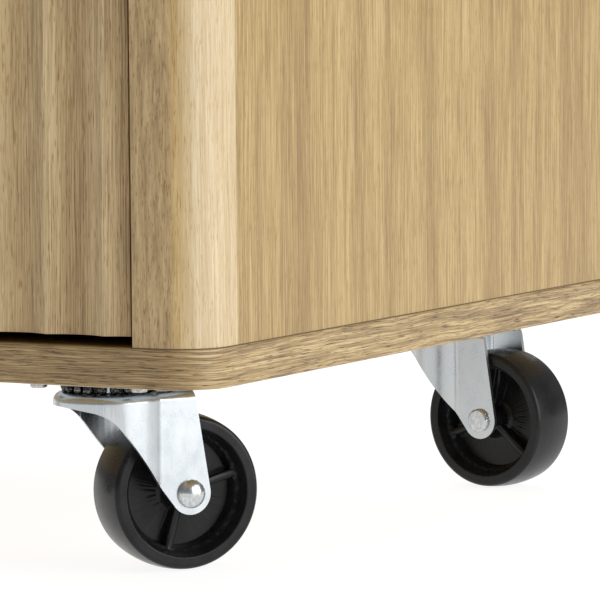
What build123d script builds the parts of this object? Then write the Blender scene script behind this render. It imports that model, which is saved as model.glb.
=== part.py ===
from build123d import *
import math
import os

os.makedirs("parts", exist_ok=True)

# Rolling pedestal cabinet. Millimetres, +Z up, front facing -Y.
# The origin is on the floor, under the middle of the cabinet.

# ---------------------------------------------------------------- driving dimensions
# Boards: the base and the top are the same rounded board.
board_width = 517.0
board_depth = 478.0
board_thickness = 19.0
board_corner_radius = 25.0       # the two front corners
board_rear_radius = 5.0
board_edge_radius = 1.2

# Upright panels and corner posts
panel_inset = 1.0                # posts and panels stand this far inside the boards' edges
side_thickness = 18.0
back_thickness = 15.0
post_width = 38.5                # across the front
post_depth = 33.5                # front to back
post_corner_radius = 24.0
post_edge_radius = 0.8

# Drawer fronts
front_thickness = 22.0           # at the crests of the flutes
flute_depth = 4.3
flute_pitch_wanted = 31.3
flute_crest_land = 1.0           # flat left on each crest
front_edge_radius = 0.6
small_front_height = 102.5
file_front_height = 260.0
front_side_gap = 2.9             # front to post
base_gap = 5.2                   # lowest front to base board
finger_gap = 14.0                # above each front, for the fingers

# Drawer boxes
box_side_thickness = 12.0
box_bottom_thickness = 5.0
box_groove_depth = 5.0
box_groove_height = 8.0          # under the bottom panel
box_groove_clearance = 0.15
box_rise = 14.0                  # box bottom edge above its front's bottom edge
small_box_height = 75.0
file_box_height = 225.0

# Runners: two-part ball-bearing slides on battens
runner_space = 12.7              # batten to drawer box
runner_step = 50.0               # runners come in lengths of this step
runner_rear_clearance = 20.0
runner_height = 35.0
runner_steel = 1.2
runner_flange_gap = 2.2          # cabinet member's flanges to the drawer box
runner_ball_diameter = 4.4
runner_ball_clearance = 0.1
runner_cage_gap = 1.0            # drawer member's flanges to the ball cage's web
runner_ball_setback = 2.0        # balls' middle inside the edge of those flanges
runner_head_gap = 0.6            # ball cage's web to the screw heads
runner_extension = 0.75          # travel as a share of the runner's length
cage_steel = 0.8
cage_balls_per_row = 5
small_runner_rise = 37.5         # runner's middle above the box's bottom edge
file_runner_rise = 90.0
batten_height = 45.0

# Fasteners
screw_head_radius = 4.2
screw_head_height = 2.4
screw_radius = 2.2
runner_screw_head_radius = 3.5
runner_screw_head_height = 1.6
runner_screw_radius = 1.8
dowel_radius = 4.0
dowel_length = 30.0

# Casters
wheel_diameter = 77.6            # at the middle of the crowned tread
wheel_width = 31.0
wheel_crown = 1.4                # the tread's fall from its middle to its edges
wheel_edge_radius = 2.4
wheel_lip_radius = 0.8
wheel_rim_wall = 7.0             # at the open side
wheel_rim_draft = 2.2            # how much thicker the rim is where it steps in
wheel_step = 1.2
wheel_step_depth = 7.0           # rim face to the step
wheel_inner_draft = 1.6          # step to web
wheel_web = 4.0
wheel_rib = 3.6
wheel_rib_root = 0.7             # how far the ribs run into the hub and the rim
wheel_boss_radius = 11.4
wheel_boss_length = 9.0
wheel_hub_radius = 7.4
wheel_hub_gap = 0.4              # hub's ends to the fork
wheel_side_gap = 1.8             # rim faces to the fork
axle_drop = 57.4                 # axle below the base board
caster_trail = 34.6              # axle behind the swivel
caster_inset_side = 80.0         # swivel to the board's side edge
caster_inset_end = 48.0          # swivel to the board's front or rear edge
axle_radius = 4.0
axle_clearance = 0.06
fork_steel = 2.2
fork_drum_radius = 27.0
fork_crown_drop = 7.0            # top of the fork below the base board
fork_rim_radius = 4.5
fork_crease_radius = 5.0
leg_end_radius = 10.4
rivet_dome_radius = 7.0
rivet_dome_height = 4.8
rivet_dome_edge = 1.4            # height of the dome's upright edge
rivet_flat_radius = 6.5
rivet_flat_height = 2.4
rivet_flat_chamfer = 0.9
plate_length = 72.0
plate_width = 54.0
plate_thickness = 2.5
plate_hole_spacing_x = 56.0
plate_hole_spacing_y = 38.0
ball_diameter = 5.0
ball_ring_radius = 21.0
ball_count = 21
ball_clearance = 0.1
kingpin_radius = 6.0

# Casters: side, end, heading of the wheel from the swivel, wheel turn, domed rivet head side
casters = {
    "front_right": (1, -1, 52.5, 15.0, -1),
    "rear_right": (1, 1, -9.5, 80.0, 1),
    "front_left": (-1, -1, 66.0, 40.0, 1),
    "rear_left": (-1, 1, 172.0, 5.0, -1),
}

# ---------------------------------------------------------------- places worked out
caster_height = axle_drop + wheel_diameter / 2
base_top = caster_height + board_thickness
half_width = board_width / 2
front_edge = -board_depth / 2
rear_edge = board_depth / 2
front_face = front_edge + panel_inset
post_rear = front_face + post_depth
rear_face = rear_edge - panel_inset
outer_side = half_width - panel_inset
side_inner = outer_side - side_thickness
bay_half = outer_side - post_width
front_width = 2 * (bay_half - front_side_gap)
flute_count = round(2 * bay_half / flute_pitch_wanted)
flute_pitch = 2 * bay_half / flute_count
box_half = bay_half - runner_space
back_inner = rear_face - back_thickness
front_rear = front_face + front_thickness
runner_start = post_rear + 3.0
runner_room = back_inner - runner_rear_clearance - runner_start
runner_length = runner_step * math.floor(runner_room / runner_step)
box_start = front_rear
box_length = runner_start + runner_length - box_start

# drawer name: bottom of its front, front height, box height, runner rise, screw rows
drawers = {}
level = base_top + base_gap
for drawer_name, front_height, box_height, runner_rise in (
    ("file_drawer", file_front_height, file_box_height, file_runner_rise),
    ("middle_drawer", small_front_height, small_box_height, small_runner_rise),
    ("top_drawer", small_front_height, small_box_height, small_runner_rise),
):
    drawers[drawer_name] = (level, front_height, box_height, runner_rise)
    level += front_height + finger_gap
body_top = level
body_height = body_top - base_top


def save(node, *solids):
    """Write one node; a group of like pieces stays a group of separate solids."""
    shape = solids[0] if len(solids) == 1 else Compound(children=list(solids))
    export_step(shape, f"parts/{node}.step")


def block(x0, x1, y0, y1, z0, z1):
    """A box between two corners, given as pairs of coordinates."""
    middle = Pos((x0 + x1) / 2, (y0 + y1) / 2, (z0 + z1) / 2)
    return middle * Box(x1 - x0, y1 - y0, z1 - z0)


def rod(radius, start, end):
    """A round bar from one point to another."""
    run = Vector(*end) - Vector(*start)
    place = Plane(origin=start, z_dir=run)
    return place * Cylinder(radius, run.length, align=(Align.CENTER, Align.CENTER, Align.MIN))


def drill(shape, holes):
    """Cut a list of rods out of a shape."""
    for hole in holes:
        shape = shape - hole
    return shape


def mirrored(shape):
    return mirror(shape, about=Plane.YZ)


# ---------------------------------------------------------------- fasteners of the carcass
def carcass_screw_axes():
    """Screws driven up through the base board: x, y of each."""
    panel_x = (side_inner + outer_side) / 2
    panel_y = (post_rear + rear_face) / 2
    spread = (rear_face - post_rear) / 3
    back_y = (back_inner + rear_face) / 2
    places = []
    for side in (-1, 1):
        places += [(side * panel_x, panel_y - spread), (side * panel_x, panel_y + spread)]
        places.append((side * half_width / 3, back_y))
    return places


def dowel_axes():
    """Dowels between the boards and the uprights: x, y of each."""
    panel_x = (side_inner + outer_side) / 2
    panel_y = (post_rear + rear_face) / 2
    spread = (rear_face - post_rear) / 4
    post_x = outer_side - post_width / 2
    post_y = front_face + post_depth / 2
    places = []
    for side in (-1, 1):
        places.append((side * post_x, post_y))
        places += [(side * panel_x, panel_y - spread), (side * panel_x, panel_y + spread)]
    return places


carcass_screw_length = 45.0


def carcass_screw(x, y):
    """A countersunk screw, head flush with the underside of the base board."""
    z = caster_height
    cone = Pos(x, y, z) * Cone(screw_head_radius, screw_radius, screw_head_height,
                               align=(Align.CENTER, Align.CENTER, Align.MIN))
    return cone + rod(screw_radius, (x, y, z), (x, y, z + carcass_screw_length))


def dowel(x, y, z):
    return Pos(x, y, z) * Cylinder(dowel_radius, dowel_length)


carcass_screws = [carcass_screw(x, y) for x, y in carcass_screw_axes()]
dowels = [dowel(x, y, z) for x, y in dowel_axes() for z in (base_top, body_top)]


# ---------------------------------------------------------------- casters, standing at the origin
# Each caster is made with its swivel axis on Z, its mounting face at z = 0 and its wheel
# towards +X, and is then turned and put under the base board.
leg_inner = wheel_width / 2 + wheel_side_gap
leg_outer = leg_inner + fork_steel


def tangent_point(start, centre, radius, side):
    """Where a line from a point touches a circle; side picks which of the two."""
    dx, dz = centre[0] - start[0], centre[1] - start[1]
    distance = math.hypot(dx, dz)
    angle = math.atan2(dz, dx) + side * math.asin(radius / distance)
    run = math.sqrt(distance ** 2 - radius ** 2)
    return (start[0] + run * math.cos(angle), start[1] + run * math.sin(angle))


def fork_plan(inward):
    """Plan of the fork: a round drum that runs into two flat legs."""
    drum = Circle(fork_drum_radius - inward)
    legs = Pos(fork_drum_radius, 0) * Rectangle(2 * fork_drum_radius, 2 * (leg_outer - inward))
    plan = drum + legs
    creases = plan.vertices().filter_by_position(Axis.X, 1, fork_drum_radius - 1)
    return fillet(creases, fork_crease_radius + inward)


def fork_side_view():
    """What is kept of the fork, seen from the side: crown, skirt and tapering legs."""
    axle = (caster_trail, -axle_drop)
    rear_top = (caster_trail + 2.3, -fork_crown_drop + 1)
    skirt_front = (-fork_drum_radius - 3, -fork_crown_drop - 5.4)
    skirt_corner = (-8.8, -fork_crown_drop - 10.3)
    leg_front = tangent_point(skirt_corner, axle, leg_end_radius, -1)
    leg_rear = tangent_point(rear_top, axle, leg_end_radius, 1)
    outline = Polyline((skirt_front[0], rear_top[1]), rear_top, leg_rear, axle, leg_front,
                       skirt_corner, skirt_front, close=True)
    view = make_face(outline)
    inner_corner = view.vertices().sort_by_distance((skirt_corner[0], skirt_corner[1], 0))[0]
    view = fillet(inner_corner, 24.0)
    return view + Pos(*axle) * Circle(leg_end_radius)


def ball_ring_groove():
    """The race that the balls run in, pressed into the plate and into the fork."""
    height = -(plate_thickness + fork_crown_drop) / 2
    return Pos(0, 0, height) * Torus(ball_ring_radius, ball_diameter / 2 + ball_clearance)


def make_fork():
    outer = extrude(Pos(0, 0, -fork_crown_drop) * fork_plan(0), amount=-axle_drop - leg_end_radius)
    rim = outer.edges().group_by(Axis.Z)[-1].filter_by(
        lambda edge: edge.center().X < 2 * fork_drum_radius)
    outer = fillet(rim, fork_rim_radius)
    cavity_top = -fork_crown_drop - fork_steel
    inner = extrude(Pos(0, 0, cavity_top) * fork_plan(fork_steel), amount=-axle_drop - 20)
    open_rear = block(fork_drum_radius, 3 * fork_drum_radius, -leg_inner, leg_inner,
                      cavity_top - 2 * axle_drop, cavity_top)
    shell = outer - inner - open_rear
    kept = extrude(Plane.XZ * fork_side_view(), amount=fork_drum_radius + 5, both=True)
    fork = shell & kept
    notch = Pos(caster_trail + 9, 0, 0) * Cylinder(leg_inner - 2, 4 * fork_crown_drop)
    fork -= notch
    fork -= Cylinder(kingpin_radius + axle_clearance, 6 * fork_crown_drop)
    fork -= rod(axle_radius, (caster_trail, -40, -axle_drop), (caster_trail, 40, -axle_drop))
    return fork - ball_ring_groove()


def make_wheel(turn):
    """One-piece moulded wheel: crowned tread, stepped rim, thin web with three ribs a side, hub."""
    radius = wheel_diameter / 2
    half = wheel_width / 2
    edge_radius = radius - wheel_crown
    rim = radius - wheel_rim_wall
    outer_step = rim - wheel_rim_draft
    inner_step = outer_step - wheel_step
    web_edge = inner_step - wheel_inner_draft
    step = half - wheel_step_depth
    hub_end = leg_inner - wheel_hub_gap
    section = [
        (axle_radius + axle_clearance, hub_end), (wheel_hub_radius, hub_end),
        (wheel_hub_radius, wheel_boss_length / 2), (wheel_boss_radius, wheel_boss_length / 2),
        (wheel_boss_radius, wheel_web / 2), (web_edge, wheel_web / 2),
        (inner_step, step), (outer_step, step), (rim, half), (edge_radius, half),
    ]
    near_side = Polyline(*section)
    far_side = Polyline(*[(r, -y) for r, y in section])
    bore = Line(near_side @ 0, far_side @ 0)
    tread = ThreePointArc(near_side @ 1, (radius, 0), far_side @ 1)
    profile = make_face(near_side + tread + far_side + bore)
    shoulders = profile.vertices().filter_by_position(Axis.X, edge_radius - 0.1, edge_radius + 0.1)
    profile = fillet(shoulders, wheel_edge_radius)
    rim_lips = profile.vertices().filter_by_position(Axis.X, rim - 0.1, rim + 0.1)
    profile = fillet(rim_lips, wheel_lip_radius)
    wheel = revolve(profile, Axis.Y)
    rib_start, rib_end = wheel_hub_radius - wheel_rib_root, inner_step + wheel_rib_root
    rib = block(rib_start, rib_end, -step, step, -wheel_rib / 2, wheel_rib / 2)
    for index in range(3):
        wheel += Rot(0, -(turn + 120 * index), 0) * rib
    return Pos(caster_trail, 0, -axle_drop) * wheel


def make_axle(dome_side):
    """Axle rivet: a domed factory head on one side, a flat upset head on the other."""
    base, edge = leg_outer, leg_outer + rivet_dome_edge
    top = leg_outer + rivet_dome_height
    rise = top - edge
    sphere = (rivet_dome_radius ** 2 + rise ** 2) / (2 * rise)
    upright = Polyline((0, top), (0, base), (rivet_dome_radius, base), (rivet_dome_radius, edge))
    crown = RadiusArc((rivet_dome_radius, edge), (0, top), -sphere)
    dome = revolve(make_face(upright + crown), Axis.Y)
    flat = rod(rivet_flat_radius, (0, -leg_outer - rivet_flat_height, 0), (0, -leg_outer, 0))
    flat = chamfer(flat.edges().sort_by(Axis.Y)[0], rivet_flat_chamfer)
    axle = rod(axle_radius, (0, -leg_outer, 0), (0, leg_outer, 0)) + dome + flat
    turned = Rot(0, 0, 0 if dome_side > 0 else 180) * axle
    return Pos(caster_trail, 0, -axle_drop) * turned


def plate_holes():
    return [(x * plate_hole_spacing_x / 2, y * plate_hole_spacing_y / 2)
            for x in (-1, 1) for y in (-1, 1)]


def make_plate():
    """Mounting plate with its pressed raceway boss and four slotted holes."""
    sheet = fillet(Rectangle(plate_length, plate_width).vertices(), 5.0)
    plate = extrude(sheet, amount=-plate_thickness)
    boss_drop = fork_crown_drop - 0.5
    boss = Cylinder(ball_ring_radius - ball_diameter / 2 - 1.0, boss_drop,
                    align=(Align.CENTER, Align.CENTER, Align.MAX))
    plate += boss
    for x, y in plate_holes():
        slot = extrude(Pos(x, y) * SlotOverall(8.4, 2 * screw_radius + 0.8), amount=-plate_thickness)
        plate -= slot
    plate -= Cylinder(kingpin_radius, 4 * fork_crown_drop)
    return plate - ball_ring_groove()


def make_kingpin():
    """King-pin rivet: its lower head holds the fork up against the balls."""
    head_top = -fork_crown_drop - fork_steel - 0.3
    shank = Cylinder(kingpin_radius, -head_top, align=(Align.CENTER, Align.CENTER, Align.MAX))
    head = Pos(0, 0, head_top) * Cylinder(11.0, 2.8, align=(Align.CENTER, Align.CENTER, Align.MAX))
    head = fillet(head.edges().sort_by(Axis.Z)[0], 1.2)
    return shank + head


def make_balls():
    height = -(plate_thickness + fork_crown_drop) / 2
    ring = []
    for index in range(ball_count):
        turn = Rot(0, 0, 360 * index / ball_count)
        ring.append(turn * Pos(ball_ring_radius, 0, height) * Sphere(ball_diameter / 2))
    return ring


def pan_screw(start, direction, length, head_radius, head_height, shank_radius):
    """A pan-head screw: start is the middle of the face that its head bears on."""
    tip = [start[i] + direction[i] * length for i in range(3)]
    crown = [start[i] - direction[i] * head_height for i in range(3)]
    head = rod(head_radius, crown, start)
    rims = head.edges().filter_by(GeomType.CIRCLE)
    outer_rim = min(rims, key=lambda edge: (edge.arc_center - Vector(*crown)).length)
    return fillet(outer_rim, head_height * 0.45) + rod(shank_radius, start, tip)


caster_screw_length = 15.0


def caster_place(side, end, heading):
    """Where a caster stands under the base board."""
    x = side * (half_width - caster_inset_side)
    y = end * (board_depth / 2 - caster_inset_end)
    return Pos(x, y, caster_height) * Rot(0, 0, heading)


caster_screws, caster_balls, kingpins = [], [], []
fork = make_fork()
plate = make_plate()
kingpin = make_kingpin()
for name, (side, end, heading, turn, dome_side) in casters.items():
    place = caster_place(side, end, heading)
    still = caster_place(side, end, 0)
    save(f"caster_{name}_fork", place * fork)
    save(f"caster_{name}_wheel", place * make_wheel(turn))
    save(f"caster_{name}_axle_rivet", place * make_axle(dome_side))
    save(f"caster_{name}_plate", still * plate)
    kingpins.append(still * kingpin)
    caster_balls += [still * ball for ball in make_balls()]
    for x, y in plate_holes():
        screw = pan_screw((x, y, -plate_thickness), (0, 0, 1), caster_screw_length,
                          screw_head_radius, screw_head_height, screw_radius)
        caster_screws.append(still * screw)
save("caster_kingpins", *kingpins)
save("caster_bearing_balls", *caster_balls)
save("caster_screws", *caster_screws)


# ---------------------------------------------------------------- boards and uprights
def make_board(bottom, holes):
    """Base or top board: large round front corners, small rear ones, eased edges."""
    sheet = Rectangle(board_width, board_depth)
    front = sheet.vertices().group_by(Axis.Y)[0]
    sheet = fillet(front, board_corner_radius)
    rear = sheet.vertices().group_by(Axis.Y)[-1]
    sheet = fillet(rear, board_rear_radius)
    board = extrude(Pos(0, 0, bottom) * sheet, amount=board_thickness)
    board = fillet(board.edges().group_by(Axis.Z)[0] + board.edges().group_by(Axis.Z)[-1],
                   board_edge_radius)
    return drill(board, holes)


def make_post():
    """Solid corner post at the front right, its outer corner rounded from top to bottom."""
    width, depth = post_width, post_depth
    sheet = Pos(outer_side - width / 2, front_face + depth / 2) * Rectangle(width, depth)
    outer = sheet.vertices().sort_by_distance((outer_side, front_face, 0))[0]
    sheet = fillet(outer, post_corner_radius)
    inner = sheet.vertices().sort_by_distance((bay_half, front_face, 0))[0]
    sheet = fillet(inner, post_edge_radius)
    return extrude(Pos(0, 0, base_top) * sheet, amount=body_height)


base_holes = carcass_screws + dowels[::2] + caster_screws
post = make_post()
side_panel = block(side_inner, outer_side, post_rear, rear_face, base_top, body_top)
back_panel = block(-side_inner, side_inner, back_inner, rear_face, base_top, body_top)
save("base_board", make_board(caster_height, base_holes))
save("top_board", make_board(body_top, dowels[1::2]))
save("corner_post_right", drill(post, dowels))
save("corner_post_left", drill(mirrored(post), dowels))
save("side_panel_right", drill(side_panel, dowels + carcass_screws))
save("side_panel_left", drill(mirrored(side_panel), dowels + carcass_screws))
save("back_panel", drill(back_panel, carcass_screws))
save("carcass_screws", *carcass_screws)
save("carcass_dowels", *dowels)


# ---------------------------------------------------------------- runners on the right-hand side
# Section across x and z, with x = 0 on the batten and the drawer box at x = -runner_space.
def channel(x_web, thickness, x_lip, height):
    """A C-section strip: a web and two flanges, as an x, z sketch about z = 0."""
    low, high = min(x_web, x_lip), max(x_web, x_lip)
    outer = Pos((low + high) / 2, 0) * Rectangle(high - low, height)
    shift = thickness if x_lip > x_web else -thickness
    hollow_low, hollow_high = sorted((x_web + shift, x_lip + shift))
    hollow = Pos((hollow_low + hollow_high) / 2, 0)
    return outer - hollow * Rectangle(hollow_high - hollow_low, height - 2 * thickness)


ball_gap = runner_ball_diameter + 2 * runner_ball_clearance
ball_height = runner_height / 2 - runner_steel - ball_gap / 2
drawer_member_height = 2 * (ball_height - ball_gap / 2)
cage_x = -runner_steel - runner_screw_head_height - runner_head_gap
member_tip = cage_x - cage_steel - runner_cage_gap
ball_x = member_tip - runner_ball_setback


def strip(sketch, x, y, z, length):
    """Stand an x, z sketch at a place and run it towards the rear."""
    return Pos(x, y, z) * extrude(Plane.XZ * sketch, amount=-length)


def runner_screw_ys():
    return [runner_start + runner_length * share for share in (0.12, 0.5, 0.88)]


def cabinet_member(z):
    member = strip(channel(0, runner_steel, runner_flange_gap - runner_space, runner_height),
                   bay_half, runner_start, z, runner_length)
    return drill(member, cabinet_runner_screws(z))


def cabinet_runner_screws(z):
    face = bay_half - runner_steel
    return [pan_screw((face, y, z), (1, 0, 0), 14.0, runner_screw_head_radius,
                      runner_screw_head_height, runner_screw_radius) for y in runner_screw_ys()]


def drawer_member(z):
    section = channel(-runner_space, runner_steel, member_tip, drawer_member_height)
    member = strip(section, bay_half, runner_start, z, runner_length)
    return drill(member, drawer_runner_screws(z))


def drawer_runner_screws(z):
    face = box_half + runner_steel
    return [pan_screw((face, y, z), (-1, 0, 0), 10.0, runner_screw_head_radius,
                      runner_screw_head_height, runner_screw_radius) for y in runner_screw_ys()]


cage_length = runner_length * (1 - runner_extension) - 4.0


def ball_cage(z):
    """Strip that keeps the balls apart; it travels half as far as the drawer."""
    lip = ball_x - runner_ball_diameter / 2 - 1.0
    section = channel(cage_x, cage_steel, lip, 2 * ball_height + cage_steel)
    start = runner_start + (runner_length - cage_length) / 2
    cage = strip(section, bay_half, start, z, cage_length)
    pitch = cage_length / cage_balls_per_row
    balls = []
    for row in (-1, 1):
        for index in range(cage_balls_per_row):
            spot = (bay_half + ball_x, start + pitch * (index + 0.5), z + row * ball_height)
            cage -= Pos(*spot) * Sphere(runner_ball_diameter / 2 + 0.1)
            balls.append(Pos(*spot) * Sphere(runner_ball_diameter / 2))
    return [cage] + balls


def batten(z):
    strip_block = block(bay_half, side_inner, post_rear, runner_start + runner_length,
                        z - batten_height / 2, z + batten_height / 2)
    return drill(strip_block, cabinet_runner_screws(z))


battens, cabinet_members, runner_screws = [], [], []
for bottom, front_height, box_height, runner_rise in drawers.values():
    z = bottom + box_rise + runner_rise
    battens += [batten(z), mirrored(batten(z))]
    cabinet_members += [cabinet_member(z), mirrored(cabinet_member(z))]
    for screw in cabinet_runner_screws(z):
        runner_screws += [screw, mirrored(screw)]
save("runner_battens", *battens)
save("runner_cabinet_members", *cabinet_members)
save("runner_screws", *runner_screws)


# ---------------------------------------------------------------- drawers
def front_screws(bottom, box_height):
    """Screws through the box front into the fluted front."""
    y = box_start + box_side_thickness
    rows = (0.3, 0.7)
    return [pan_screw((x, y, bottom + box_rise + box_height * row), (0, -1, 0), 24.0,
                      screw_head_radius, screw_head_height, screw_radius)
            for x in (-box_half * 0.6, box_half * 0.6) for row in rows]


def make_front(bottom, height, screws):
    """Fluted front: hollow coves spaced over the whole bay, so those at the ends are cut short."""
    sheet = Pos(0, front_face + front_thickness / 2) * Rectangle(front_width, front_thickness)
    half_cove = (flute_pitch - flute_crest_land) / 2
    cove_radius = (half_cove ** 2 + flute_depth ** 2) / (2 * flute_depth)
    for index in range(flute_count + 1):
        x = -bay_half + index * flute_pitch
        sheet -= Pos(x, front_face + flute_depth - cove_radius) * Circle(cove_radius)
    front = extrude(Pos(0, 0, bottom) * sheet, amount=height)
    rear_rims = front.edges().group_by(Axis.Y)[-1]
    front = chamfer(rear_rims.filter_by(Axis.X), front_edge_radius)
    return drill(front, screws)


def make_box(node, bottom, height, z, screws):
    """Drawer box of four sides and a grooved-in bottom."""
    low = bottom + box_rise
    high = low + height
    end = box_start + box_length
    wall = box_side_thickness
    bottom_low = low + box_groove_height
    bottom_high = bottom_low + box_bottom_thickness
    reach = box_groove_depth
    panel = block(-box_half + wall - reach, box_half - wall + reach,
                  box_start + wall - reach, end - wall + reach, bottom_low, bottom_high)
    slack = box_groove_clearance
    groove = block(-box_half + wall - reach - slack, box_half - wall + reach + slack,
                   box_start + wall - reach - slack, end - wall + reach + slack,
                   bottom_low, bottom_high)
    side = block(box_half - wall, box_half, box_start, end, low, high) - groove
    side = drill(side, drawer_runner_screws(z))
    across = box_half - wall
    box_front = block(-across, across, box_start, box_start + wall, low, high) - groove
    box_back = block(-across, across, end - wall, end, low, high) - groove
    save(f"{node}_box_side_right", side)
    save(f"{node}_box_side_left", mirrored(side))
    save(f"{node}_box_front", drill(box_front, screws))
    save(f"{node}_box_back", box_back)
    save(f"{node}_box_bottom", panel)


for node, (bottom, front_height, box_height, runner_rise) in drawers.items():
    z = bottom + box_rise + runner_rise
    screws = front_screws(bottom, box_height)
    save(f"{node}_front", make_front(bottom, front_height, screws))
    make_box(node, bottom, box_height, z, screws)
    members = [drawer_member(z), mirrored(drawer_member(z))]
    save(f"{node}_runner_members", *members)
    side_screws = drawer_runner_screws(z)
    save(f"{node}_screws", *screws, *side_screws, *[mirrored(screw) for screw in side_screws])
    cage = ball_cage(z)
    save(f"{node}_ball_cages", *cage, *[mirrored(piece) for piece in cage])
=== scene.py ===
import math

import bpy
from mathutils import Matrix, Vector


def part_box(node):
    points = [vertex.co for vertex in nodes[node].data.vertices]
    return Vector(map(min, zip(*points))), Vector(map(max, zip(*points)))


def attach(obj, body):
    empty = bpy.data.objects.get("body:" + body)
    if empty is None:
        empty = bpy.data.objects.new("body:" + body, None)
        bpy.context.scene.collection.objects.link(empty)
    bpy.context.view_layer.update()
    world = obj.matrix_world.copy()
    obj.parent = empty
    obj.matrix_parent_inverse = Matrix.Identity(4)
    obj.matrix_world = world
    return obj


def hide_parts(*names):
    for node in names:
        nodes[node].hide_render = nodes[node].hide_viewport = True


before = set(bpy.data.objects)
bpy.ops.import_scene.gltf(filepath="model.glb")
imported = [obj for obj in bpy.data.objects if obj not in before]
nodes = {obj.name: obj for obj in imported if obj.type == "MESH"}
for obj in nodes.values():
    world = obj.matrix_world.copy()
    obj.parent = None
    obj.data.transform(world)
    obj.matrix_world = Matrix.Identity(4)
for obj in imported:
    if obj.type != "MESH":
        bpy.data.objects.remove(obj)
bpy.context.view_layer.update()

# ---------------------------------------------------------------- side and back panels
# Board faced with straight-cut oak veneer, its grain upright, under a satin lacquer.
# Each side stands behind its corner post and the back fits between the sides. Screws from
# below hold all three to the base board.

mm = 0.001
base_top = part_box("base_board")[1].z
# Heights over the base board's top at which the painted shadow line at an upright's foot is full
# and at which it ends.
joint_shadow_full = 0.3 * mm
joint_shadow_end = 0.7 * mm


def linear(text):
    """A hex sRGB colour as the linear values that the shaders work in."""
    parts = [int(text[place:place + 2], 16) / 255 for place in (1, 3, 5)]
    return (*[p / 12.92 if p <= 0.04045 else ((p + 0.055) / 1.055) ** 2.4 for p in parts], 1.0)


def add_node(tree, kind, inputs=(), stops=(), output=0, **settings):
    """Add a shader node and return one of its outputs; an input takes a value or a socket."""
    node = tree.nodes.new("ShaderNode" + kind)
    for key, value in settings.items():
        setattr(node, key, value)
    for key, value in dict(inputs).items():
        if isinstance(value, bpy.types.NodeSocket):
            tree.links.new(value, node.inputs[key])
        else:
            node.inputs[key].default_value = value
    for place, (position, colour) in enumerate(stops):
        if place >= len(node.color_ramp.elements):
            node.color_ramp.elements.new(position)
        node.color_ramp.elements[place].position = position
        node.color_ramp.elements[place].color = linear(colour)
    return node.outputs[output]


def new_material(name, **sockets):
    """A material with its shader's own sockets set; returns it, its node tree and its shader."""
    material = bpy.data.materials.new(name)
    material.use_nodes = True
    surface = material.node_tree.nodes["Principled BSDF"]
    for key, value in sockets.items():
        surface.inputs[key.replace("_", " ")].default_value = value
    return material, material.node_tree, surface


def grain(tree, along, size, detail=2.0, start=0.0, wander=1.0):
    """Noise drawn out along an axis (0, 1 or 2); size is its streaks' width and length in mm."""
    place = add_node(tree, "TexCoord", output="Object")
    drift = add_node(tree, "TexNoise", {"Vector": place, "Scale": 6.0, "Detail": 1.0},
                     output="Color")
    bent = add_node(tree, "VectorMath", {0: drift, 1: (wander * 6 * mm,) * 3, 2: place},
                    operation="MULTIPLY_ADD")
    scale = [1 / (size[0] * mm)] * 3
    scale[along] = 1 / (size[1] * mm)
    mapped = add_node(tree, "Mapping", {"Vector": bent, "Scale": scale, "Location": (start,) * 3})
    return add_node(tree, "TexNoise", {"Vector": mapped, "Scale": 1.0, "Detail": detail,
                                       "Roughness": 0.6})


def oak(tree, along, tones, streak, band, pore, band_share, pore_tint, start=0.0):
    """Oak's colour, its fine streaks and its pores: streaks over slow bands, dark short pores."""
    # Oak's streaks and pores are 0.2 to 0.3 mm wide. They are drawn two to three times as wide,
    # because finer ones don't show.
    fine = grain(tree, along, streak, 4.0, start)
    slow = grain(tree, along, band, 2.0, start + 3.1)
    both = add_node(tree, "Mix", {0: band_share, 2: fine, 3: slow})
    wood = add_node(tree, "ValToRGB", {"Fac": both}, stops=list(zip((0.39, 0.5, 0.61), tones)))
    dashes = grain(tree, along, pore, 1.0, start + 7.7, 0.4)
    pores = add_node(tree, "ValToRGB", {"Fac": dashes},
                     stops=[(0.58, "#ffffff"), (0.69, pore_tint)])
    colour = add_node(tree, "Mix", {0: 1.0, 6: wood, 7: pores}, output=2,
                      data_type="RGBA", blend_type="MULTIPLY")
    return colour, fine, pores


def lacquer(tree, surface, colour, fine, pores, relief=0.04):
    """Satin lacquer over the wood, which keeps a faint relief, in mm, of streaks and pores."""
    tree.links.new(colour, surface.inputs["Base Color"])
    height = add_node(tree, "Math", {0: fine, 1: pores}, operation="ADD")
    bump = add_node(tree, "Bump", {"Height": height, "Strength": 0.5, "Distance": relief * mm})
    tree.links.new(bump, surface.inputs["Normal"])
    gloss = add_node(tree, "MapRange", {"Value": fine, "To Min": 0.40, "To Max": 0.55})
    tree.links.new(gloss, surface.inputs["Roughness"])


def joint_shadow_line(tree, colour):
    """Paint shade on the last half millimetre of an upright piece, where it stands on the base
    board: a painted shadow line at the joint.
    """
    place = add_node(tree, "TexCoord", output="Object")
    rise = add_node(tree, "SeparateXYZ", {0: place}, output="Z")
    shade = add_node(tree, "MapRange", {"Value": rise, "From Min": base_top + joint_shadow_full,
                                        "From Max": base_top + joint_shadow_end,
                                        "To Min": 1.0, "To Max": 0.0})
    return add_node(tree, "Mix", {0: shade, 6: colour, 7: linear("#4a3a26")}, output=2,
                    data_type="RGBA")


def finish(material, names):
    """Put a material on CAD pieces, whose meshes stay as they are."""
    for name in names:
        for slot in nodes[name].material_slots:
            slot.material = material


# Oak veneer, satin lacquer: pale gold with hair-fine upright streaks and broad faint bands.
panel_oak, tree, surface = new_material("oak_veneer_satin_lacquer", Coat_Weight=0.1,
                                        Coat_Roughness=0.35)
colour, fine, pores = oak(tree, 2, ("#8f7349", "#aa8e5b", "#c6ac79"), streak=(0.75, 60.0),
                          band=(24.0, 900.0), pore=(0.55, 8.0), band_share=0.3,
                          pore_tint="#e2d3b8")
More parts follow.
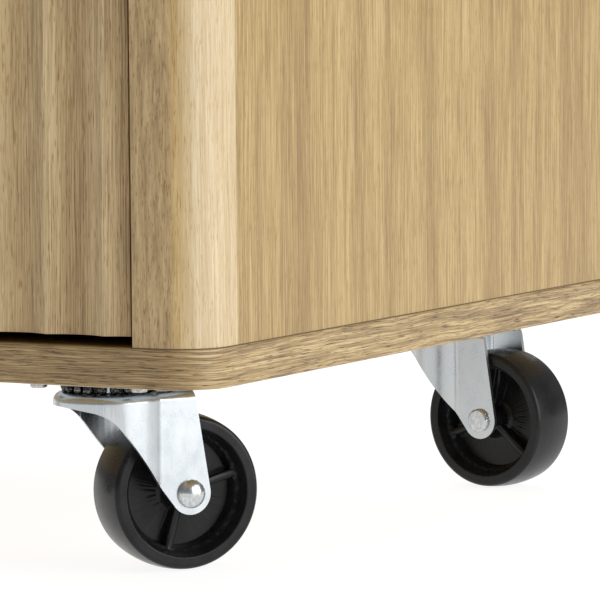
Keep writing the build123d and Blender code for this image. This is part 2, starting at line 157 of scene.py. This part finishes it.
# The panel's foot carries a painted shadow line where it stands on the base board.
lacquer(tree, surface, joint_shadow_line(tree, colour), fine, pores)
finish(panel_oak, ["side_panel_left", "side_panel_right", "back_panel"])

# ---------------------------------------------------------------- corner posts
# Solid oak, rounded on its outer corner, glued up so that brown heartwood faces the front
# and cream sapwood turns the corner to the side. The post runs from board to board.

heart_inset = 17.6 * mm
heart_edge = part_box("corner_post_right")[1].x - heart_inset
# Past the heartwood's edge: where the gold is full, starts to fade, and is all sapwood.
gold_from = 3.5 * mm
gold_until = 4.0 * mm
sap_from = 11.0 * mm
edge_waver = 2.5 * mm

# Solid oak, satin lacquer: smoky heartwood with short dark pores, then gold, then pale sapwood.
post_oak, tree, surface = new_material("solid_oak_satin_lacquer", Coat_Weight=0.1,
                                       Coat_Roughness=0.35)
heart, _, heart_pores = oak(tree, 2, ("#a0865c", "#b99d70", "#ccb183"), streak=(1.0, 14.0),
                            band=(5.0, 40.0), pore=(0.6, 5.0), band_share=0.5,
                            pore_tint="#d2be9e", start=11.0)
sap, sap_fine, _ = oak(tree, 2, ("#c1a981", "#cfb993", "#dcc9a6"), streak=(0.7, 34.0),
                       band=(5.0, 300.0), pore=(0.6, 7.0), band_share=0.4,
                       pore_tint="#ecdfc6", start=23.0)
gold, _, _ = oak(tree, 2, ("#a98a56", "#c0a168", "#d0b37e"), streak=(0.9, 26.0),
                 band=(5.0, 120.0), pore=(0.6, 7.0), band_share=0.4,
                 pore_tint="#e0cfae", start=23.0)
place = add_node(tree, "TexCoord", output="Object")
sideways = add_node(tree, "Math", {0: add_node(tree, "SeparateXYZ", {0: place}, output="X")},
                    operation="ABSOLUTE")
waver = grain(tree, 2, (5.0, 70.0), 1.0, 31.0)
edge = add_node(tree, "Math", {0: waver, 1: edge_waver, 2: sideways}, operation="MULTIPLY_ADD")
past_heart = add_node(tree, "MapRange", {"Value": edge, "From Min": heart_edge,
                                         "From Max": heart_edge + gold_from})
past_gold = add_node(tree, "MapRange", {"Value": edge, "From Min": heart_edge + gold_until,
                                        "From Max": heart_edge + sap_from})
inner = add_node(tree, "Mix", {0: past_heart, 6: heart, 7: gold}, output=2, data_type="RGBA")
colour = add_node(tree, "Mix", {0: past_gold, 6: inner, 7: sap}, output=2, data_type="RGBA")
# The post's foot carries a painted shadow line where it stands on the base board.
lacquer(tree, surface, joint_shadow_line(tree, colour), sap_fine, heart_pores, 0.05)
finish(post_oak, ["corner_post_left", "corner_post_right"])

# ---------------------------------------------------------------- base board and top board
# Two boards of one shape with round front corners, veneered on both faces. A strip of
# veneer, its grain lying along the edge, is glued round the edge and eased by hand.

front_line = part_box("base_board")[0].y
strip_wave = 2.5 * mm
# Depths behind the front line over which the painted shade on the front edge strip is full and
# then fades out.
front_shade_full = 1.0 * mm
front_shade_end = 14.0 * mm
level_face = 0.8        # a face whose normal is more upright than this counts as level

# Oak face and edge strip, satin lacquer: faces finely streaked, the strip wavy with long flecks.
board_oak, tree, surface = new_material("oak_edged_board_satin_lacquer", Coat_Weight=0.15,
                                        Coat_Roughness=0.3)
face, face_fine, _ = oak(tree, 0, ("#9c7f50", "#b59862", "#c8ad7a"), streak=(0.8, 50.0),
                         band=(20.0, 800.0), pore=(0.6, 12.0), band_share=0.35,
                         pore_tint="#cdb995", start=5.0)
place = add_node(tree, "TexCoord", output="Object")
drift = add_node(tree, "TexNoise", {"Vector": place, "Scale": 26.0, "Detail": 1.0}, output="Color")
waved = add_node(tree, "VectorMath", {0: drift, 1: (0.0, 0.0, strip_wave), 2: place},
                 operation="MULTIPLY_ADD")
# Streaks, broad bands and flecks, each with its height and length in mm. Real flecks are
# about 0.2 mm high; they are drawn twice as high, so that they show.
layers = []
for rise, run, start in ((0.5, 34.0, 2.0), (1.5, 60.0, 6.0), (0.42, 13.0, 9.0)):
    mapped = add_node(tree, "Mapping", {
        "Vector": waved, "Location": (start,) * 3,
        "Scale": (1 / (run * mm), 1 / (run * mm), 1 / (rise * mm))})
    layers.append(add_node(tree, "TexNoise", {"Vector": mapped, "Scale": 1.0, "Detail": 3.0,
                                              "Roughness": 0.6}))
streaks, broad, flecks = layers
both = add_node(tree, "Mix", {0: 0.4, 2: streaks, 3: broad})
strip = add_node(tree, "ValToRGB", {"Fac": both},
                 stops=[(0.38, "#786040"), (0.5, "#a88d5e"), (0.61, "#d2b888")])
fleck_marks = add_node(tree, "ValToRGB", {"Fac": flecks},
                       stops=[(0.57, "#ffffff"), (0.63, "#86745a")])
strip = add_node(tree, "Mix", {0: 1.0, 6: strip, 7: fleck_marks}, output=2, data_type="RGBA",
                 blend_type="MULTIPLY")
# The length of strip along the front is painted browner and darker than the lengths along the
# sides: painted shade on the front edge, which the side light barely reaches.
forward = add_node(tree, "SeparateXYZ", {0: place}, output="Y")
front_edge_shade = add_node(tree, "MapRange", {"Value": forward,
                                          "From Min": front_line + front_shade_full,
                                          "From Max": front_line + front_shade_end,
                                          "To Min": 0.35, "To Max": 0.0})
strip = add_node(tree, "Mix", {0: front_edge_shade, 6: strip, 7: linear("#b49f86")}, output=2,
                 data_type="RGBA", blend_type="MULTIPLY")
facing = add_node(tree, "TexCoord", output="Normal")
upright = add_node(tree, "Math", {0: add_node(tree, "SeparateXYZ", {0: facing}, output="Z")},
                   operation="ABSOLUTE")
flat = add_node(tree, "Math", {0: upright, 1: level_face}, operation="GREATER_THAN")
colour = add_node(tree, "Mix", {0: flat, 6: strip, 7: face}, output=2, data_type="RGBA")
fine = add_node(tree, "Mix", {0: flat, 2: streaks, 3: face_fine})
lacquer(tree, surface, colour, fine, fleck_marks, 0.08)
finish(board_oak, ["base_board", "top_board"])

# ---------------------------------------------------------------- drawer fronts
# Oak, run over a shaper that hollows it into upright coves, so that sharp crests stand
# between them. Each front is screwed to its drawer box from inside.

drawers = ("file_drawer", "middle_drawer", "top_drawer")
crest_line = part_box("file_drawer_front")[0].y
# Depths behind the crests at which the painted shade in the hollows begins and is full.
hollow_shade_start = 0.5 * mm
hollow_shade_end = 4.0 * mm

# Oak shaped into flutes, satin lacquer: brown and gold streaks that change every few flutes.
front_oak, tree, surface = new_material("fluted_oak_satin_lacquer", Coat_Weight=0.1,
                                        Coat_Roughness=0.35)
wood, fine, pores = oak(tree, 2, ("#957c57", "#bda479", "#dac297"), streak=(0.75, 60.0),
                        band=(16.0, 900.0), pore=(0.6, 9.0), band_share=0.35,
                        pore_tint="#d6c4a2", start=41.0)
# The hollows are painted browner and darker than the crests: painted shade in the coves.
place = add_node(tree, "TexCoord", output="Object")
depth = add_node(tree, "SeparateXYZ", {0: place}, output="Y")
hollow_shade = add_node(tree, "MapRange", {"Value": depth, "From Min": crest_line + hollow_shade_start,
                                     "From Max": crest_line + hollow_shade_end})
colour = add_node(tree, "Mix", {0: hollow_shade, 6: wood, 7: linear("#efe8dc")}, output=2,
                  data_type="RGBA", blend_type="MULTIPLY")
lacquer(tree, surface, colour, fine, pores)
finish(front_oak, [f"{drawer}_front" for drawer in drawers])

# ---------------------------------------------------------------- drawer boxes
# Birch plywood sides and ends, glued at the corners, with a thin plywood bottom that slides
# in a groove. The top edges of the sides and ends show their plies.

ply = 1.35 * mm

# Birch plywood, clear lacquer: cream faces with faint curl, dark glue lines on the top edges.
for piece, along, through, box_parts in (("sides", 1, "X", ("box_side_left", "box_side_right")),
                                         ("ends", 0, "Y", ("box_front", "box_back")),
                                         ("bottoms", 1, None, ("box_bottom",))):
    birch_ply, tree, surface = new_material(f"birch_plywood_clear_lacquer_{piece}", Roughness=0.5)
    figure = grain(tree, along, (2.4, 90.0), 3.0, 53.0, 2.0)
    colour = add_node(tree, "ValToRGB", {"Fac": figure},
                      stops=[(0.36, "#bfa67e"), (0.5, "#d2bb94"), (0.64, "#decaa8")])
    if through:
        place = add_node(tree, "TexCoord", output="Object")
        across = add_node(tree, "SeparateXYZ", {0: place}, output=through)
        layer = add_node(tree, "Math", {0: across, 1: ply}, operation="PINGPONG")
        share = add_node(tree, "Math", {0: layer, 1: ply}, operation="DIVIDE")
        plies = add_node(tree, "ValToRGB", {"Fac": share},
                         stops=[(0.45, "#9c7c50"), (0.55, "#d2bb94")])
        facing = add_node(tree, "TexCoord", output="Normal")
        upward = add_node(tree, "SeparateXYZ", {0: facing}, output="Z")
        on_top = add_node(tree, "Math", {0: upward, 1: level_face}, operation="GREATER_THAN")
        colour = add_node(tree, "Mix", {0: on_top, 6: colour, 7: plies}, output=2,
                          data_type="RGBA")
    tree.links.new(colour, surface.inputs["Base Color"])
    bump = add_node(tree, "Bump", {"Height": figure, "Strength": 0.4, "Distance": 0.04 * mm})
    tree.links.new(bump, surface.inputs["Normal"])
    finish(birch_ply, [f"{drawer}_{part}" for drawer in drawers for part in box_parts])

# ---------------------------------------------------------------- battens and dowels
# Planed pine battens, glued to the sides, bring the runners out level with the corner posts.
# Turned beech dowels, glued in, locate the sides and the posts on the two boards.

# Planed pine, unfinished: cream with wide, soft, yellow-brown growth rings.
pine, tree, surface = new_material("planed_pine", Roughness=0.62)
rings = grain(tree, 1, (5.0, 260.0), 2.0, 61.0)
colour = add_node(tree, "ValToRGB", {"Fac": rings},
                  stops=[(0.38, "#a98150"), (0.47, "#cdab77"), (0.62, "#dbc296")])
tree.links.new(colour, surface.inputs["Base Color"])
bump = add_node(tree, "Bump", {"Height": rings, "Strength": 0.4, "Distance": 0.06 * mm})
tree.links.new(bump, surface.inputs["Normal"])
finish(pine, ["runner_battens"])

# Turned beech, unfinished: pinkish tan with tiny dark dashes.
beech, tree, surface = new_material("turned_beech", Roughness=0.6)
dashes = grain(tree, 2, (0.7, 3.0), 1.0, 71.0)
colour = add_node(tree, "ValToRGB", {"Fac": dashes}, stops=[(0.42, "#c59d72"), (0.62, "#a97d52")])
tree.links.new(colour, surface.inputs["Base Color"])
finish(beech, ["carcass_dowels"])

# ---------------------------------------------------------------- runners and ball cages
# Channels rolled from cold strip and zinc plated, one screwed to each batten and one to each
# side of a drawer box. A pressed cage holds the balls that run between the two.

# Rolled steel, zinc plated: an even grey gloss drawn out along the strip by the rolls.
rolled_zinc, tree, surface = new_material("rolled_zinc_plated_steel", Metallic=1.0)
drawn = grain(tree, 1, (0.8, 60.0), 2.0, 83.0, 0.0)
colour = add_node(tree, "ValToRGB", {"Fac": drawn}, stops=[(0.35, "#b4b8ba"), (0.65, "#d2d5d6")])
tree.links.new(colour, surface.inputs["Base Color"])
gloss = add_node(tree, "MapRange", {"Value": drawn, "To Min": 0.24, "To Max": 0.42})
tree.links.new(gloss, surface.inputs["Roughness"])
finish(rolled_zinc, ["runner_cabinet_members"] + [f"{drawer}_runner_members" for drawer in drawers]
       + [f"{drawer}_ball_cages" for drawer in drawers])

# ---------------------------------------------------------------- screws
# Countersunk and pan-head steel screws, zinc plated. They hold the carcass, the runners,
# the fronts and the caster plates.

# Zinc-plated screw steel: grey-yellow, slightly spotted, a little duller than the runners.
screw_zinc, tree, surface = new_material("zinc_plated_screw_steel", Metallic=1.0, Roughness=0.35)
spots = grain(tree, 2, (0.9, 0.9), 2.0, 91.0, 0.0)
colour = add_node(tree, "ValToRGB", {"Fac": spots}, stops=[(0.4, "#a8a79f"), (0.6, "#c9c9c2")])
tree.links.new(colour, surface.inputs["Base Color"])
finish(screw_zinc, ["carcass_screws", "runner_screws", "caster_screws"]
       + [f"{drawer}_screws" for drawer in drawers])

# ---------------------------------------------------------------- caster plates, king-pins, balls
# A pressed plate is screwed under the base board at each corner. The king-pin, a flat-headed
# steel rivet, holds the fork to it over a ring of loose steel balls.

casters = ("front_right", "rear_right", "front_left", "rear_left")
weld_distance = 0.002 * mm


def smooth_piece(node, body, material, angle=30.0):
    """A finished piece that stands for a CAD node: one closed skin with smooth-shaded curves."""
    bpy.ops.object.select_all(action="DESELECT")
    piece = bpy.data.objects.new(f"{node}_finished", nodes[node].data.copy())
    bpy.context.scene.collection.objects.link(piece)
    piece.select_set(True)
    bpy.context.view_layer.objects.active = piece
    bpy.ops.object.mode_set(mode="EDIT")
    bpy.ops.mesh.select_all(action="SELECT")
    bpy.ops.mesh.remove_doubles(threshold=weld_distance)
    bpy.ops.object.mode_set(mode="OBJECT")
    bpy.ops.object.shade_smooth_by_angle(angle=math.radians(angle))
    bpy.ops.object.modifier_add(type="WEIGHTED_NORMAL")
    piece.modifiers[-1].keep_sharp = True
    bpy.ops.object.modifier_apply(modifier=piece.modifiers[-1].name)
    piece.data.materials.clear()
    piece.data.materials.append(material)
    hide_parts(node)
    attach(piece, body)


# Pressed steel, bright zinc plated: silver-white, satin, with faint clouds left by the bath.
# The plating's grain is far below a millimetre; it is drawn 0.7 mm wide, so that it shows.
pressed_zinc, tree, surface = new_material("pressed_bright_zinc_steel", Metallic=1.0)
clouds = grain(tree, 2, (11.0, 16.0), 3.0, 101.0, 0.0)
pits = grain(tree, 2, (0.7, 0.7), 2.0, 103.0, 0.0)
colour = add_node(tree, "ValToRGB", {"Fac": clouds},
                  stops=[(0.3, "#bfc6cb"), (0.5, "#c9ced1"), (0.7, "#d0d3d4")])
tree.links.new(colour, surface.inputs["Base Color"])
gloss = add_node(tree, "MapRange", {"Value": clouds, "From Min": 0.3, "From Max": 0.7,
                                    "To Min": 0.24, "To Max": 0.33})
tree.links.new(gloss, surface.inputs["Roughness"])
bump = add_node(tree, "Bump", {"Height": pits, "Strength": 0.12, "Distance": 0.01 * mm})
tree.links.new(bump, surface.inputs["Normal"])
finish(pressed_zinc, [f"caster_{caster}_plate" for caster in casters])
smooth_piece("caster_kingpins", "cabinet", pressed_zinc)

# Ground bearing steel under grease: small bright highlights, blackened between the balls.
ball_steel, tree, surface = new_material("greased_bearing_steel", Metallic=1.0, Roughness=0.16)
grease = grain(tree, 2, (1.6, 1.6), 2.0, 107.0, 0.0)
colour = add_node(tree, "ValToRGB", {"Fac": grease}, stops=[(0.42, "#211f1c"), (0.62, "#75746f")])
tree.links.new(colour, surface.inputs["Base Color"])
smooth_piece("caster_bearing_balls", "cabinet", ball_steel, 60.0)

# ---------------------------------------------------------------- caster forks and axle rivets
# One steel pressing each: a round crown that runs down into two flat legs. The axle is a
# rivet with a domed head, upset flat on its other end.

# Rivet steel, zinc plated and rubbed: rounder, brighter highlights than the fork's.
rivet_zinc, tree, surface = new_material("rubbed_zinc_rivet_steel", Metallic=1.0)
rubs = grain(tree, 2, (1.4, 2.2), 3.0, 109.0, 0.0)
colour = add_node(tree, "ValToRGB", {"Fac": rubs}, stops=[(0.35, "#b4b9bc"), (0.65, "#dadcdc")])
tree.links.new(colour, surface.inputs["Base Color"])
gloss = add_node(tree, "MapRange", {"Value": rubs, "To Min": 0.14, "To Max": 0.34})
tree.links.new(gloss, surface.inputs["Roughness"])
for caster in casters:
    smooth_piece(f"caster_{caster}_fork", f"fork_{caster}", pressed_zinc)
    smooth_piece(f"caster_{caster}_axle_rivet", f"fork_{caster}", rivet_zinc)

# ---------------------------------------------------------------- caster wheels
# Injection-moulded in one piece: a crowned tread, a deep rim and a thin web with three ribs
# on each side. Its hub turns on the axle rivet between the fork's legs.

# Black polypropylene, moulded: near-black and semi-gloss, with soft flow marks and fine haze.
# The mould's texture is far below a millimetre; it is drawn 0.5 mm wide, so that it shows.
black_plastic, tree, surface = new_material("black_polypropylene_moulded", IOR=1.49,
                                            Specular_IOR_Level=0.26)
flow = grain(tree, 2, (14.0, 14.0), 3.0, 113.0, 0.0)
haze = grain(tree, 2, (0.5, 0.5), 2.0, 127.0, 0.0)
colour = add_node(tree, "ValToRGB", {"Fac": flow}, stops=[(0.35, "#151515"), (0.65, "#1f1f20")])
tree.links.new(colour, surface.inputs["Base Color"])
gloss = add_node(tree, "MapRange", {"Value": flow, "From Min": 0.3, "From Max": 0.7,
                                    "To Min": 0.2, "To Max": 0.32})
tree.links.new(gloss, surface.inputs["Roughness"])
bump = add_node(tree, "Bump", {"Height": haze, "Strength": 0.2, "Distance": 0.02 * mm})
tree.links.new(bump, surface.inputs["Normal"])
for caster in casters:
    smooth_piece(f"caster_{caster}_wheel", f"wheel_{caster}", black_plastic)

# ---------------------------------------------------------------- studio
# A white floor and soft light: a large softbox stands to the right, its foot on the floor,
# two weaker ones hang behind and above, and the room round them is dim and even.

# Painted studio floor, evenly lit from below: white, with only a trace of shadow under things.
floor_white, _, _ = new_material("white_studio_floor", Roughness=0.9,
                                 Base_Color=linear("#767676"),
                                 Emission_Color=linear("#ffffff"), Emission_Strength=0.9)
bpy.ops.object.select_all(action="DESELECT")
bpy.ops.mesh.primitive_plane_add(size=40.0, location=(0, 0, 0))
floor = bpy.context.object
floor.name = "studio_floor"
floor.data.materials.append(floor_white)

world = bpy.data.worlds.new("studio_room")
bpy.context.scene.world = world
world.use_nodes = True
room = world.node_tree.nodes["Background"]
room.inputs["Color"].default_value = (0.97, 0.985, 1.0, 1.0)
room.inputs["Strength"].default_value = 0.27

# Each softbox has a place and a target in metres, its width and height, and its watts.
for name, place, target, width, height, power in (
        ("softbox_right", (2.6, -0.1, 0.95), (0.1, 0.0, 0.3), 2.6, 1.9, 50.0),
        ("softbox_behind", (-0.9, 2.4, 2.0), (0.0, 0.0, 0.3), 1.8, 1.8, 26.0),
        ("softbox_above", (0.0, 0.0, 2.6), (0.0, 0.0, 0.0), 1.6, 1.6, 16.0)):
    data = bpy.data.lights.new(name, "AREA")
    data.shape = "RECTANGLE"
    data.size, data.size_y = width, height
    data.energy = power
    light = bpy.data.objects.new(name, data)
    bpy.context.scene.collection.objects.link(light)
    light.location = place
    light.rotation_euler = (Vector(target) - Vector(place)).to_track_quat("-Z", "Y").to_euler()
bpy.context.scene.view_settings.view_transform = "Standard"

# ---------------------------------------------------------------- camera
# It stands off the right front corner of the base board, a little above it, with a long lens.
# Its place is measured from that corner; yaw, pitch and roll turn it from the front view.

board_low, board_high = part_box("base_board")
corner = Vector((board_high.x, board_low.y, board_low.z))
stand_off = Vector((0.89965, -1.61645, 0.19605))
yaw, pitch, roll = (math.radians(degrees) for degrees in (27.713, 4.734, -0.447))
backward = Vector((math.sin(yaw) * math.cos(pitch), -math.cos(yaw) * math.cos(pitch),
                   math.sin(pitch)))
level = Vector((math.cos(yaw), math.sin(yaw), 0))
upward = backward.cross(level)
camera_right = level * math.cos(roll) + upward * math.sin(roll)
camera_up = upward * math.cos(roll) - level * math.sin(roll)
camera = bpy.data.objects.new("camera", bpy.data.cameras.new("camera"))
bpy.context.scene.collection.objects.link(camera)
stand = Matrix((camera_right, camera_up, backward)).transposed().to_4x4()
stand.translation = corner + stand_off
camera.matrix_world = stand
camera.data.lens = 239.6
camera.data.sensor_width = 36
bpy.context.scene.camera = camera
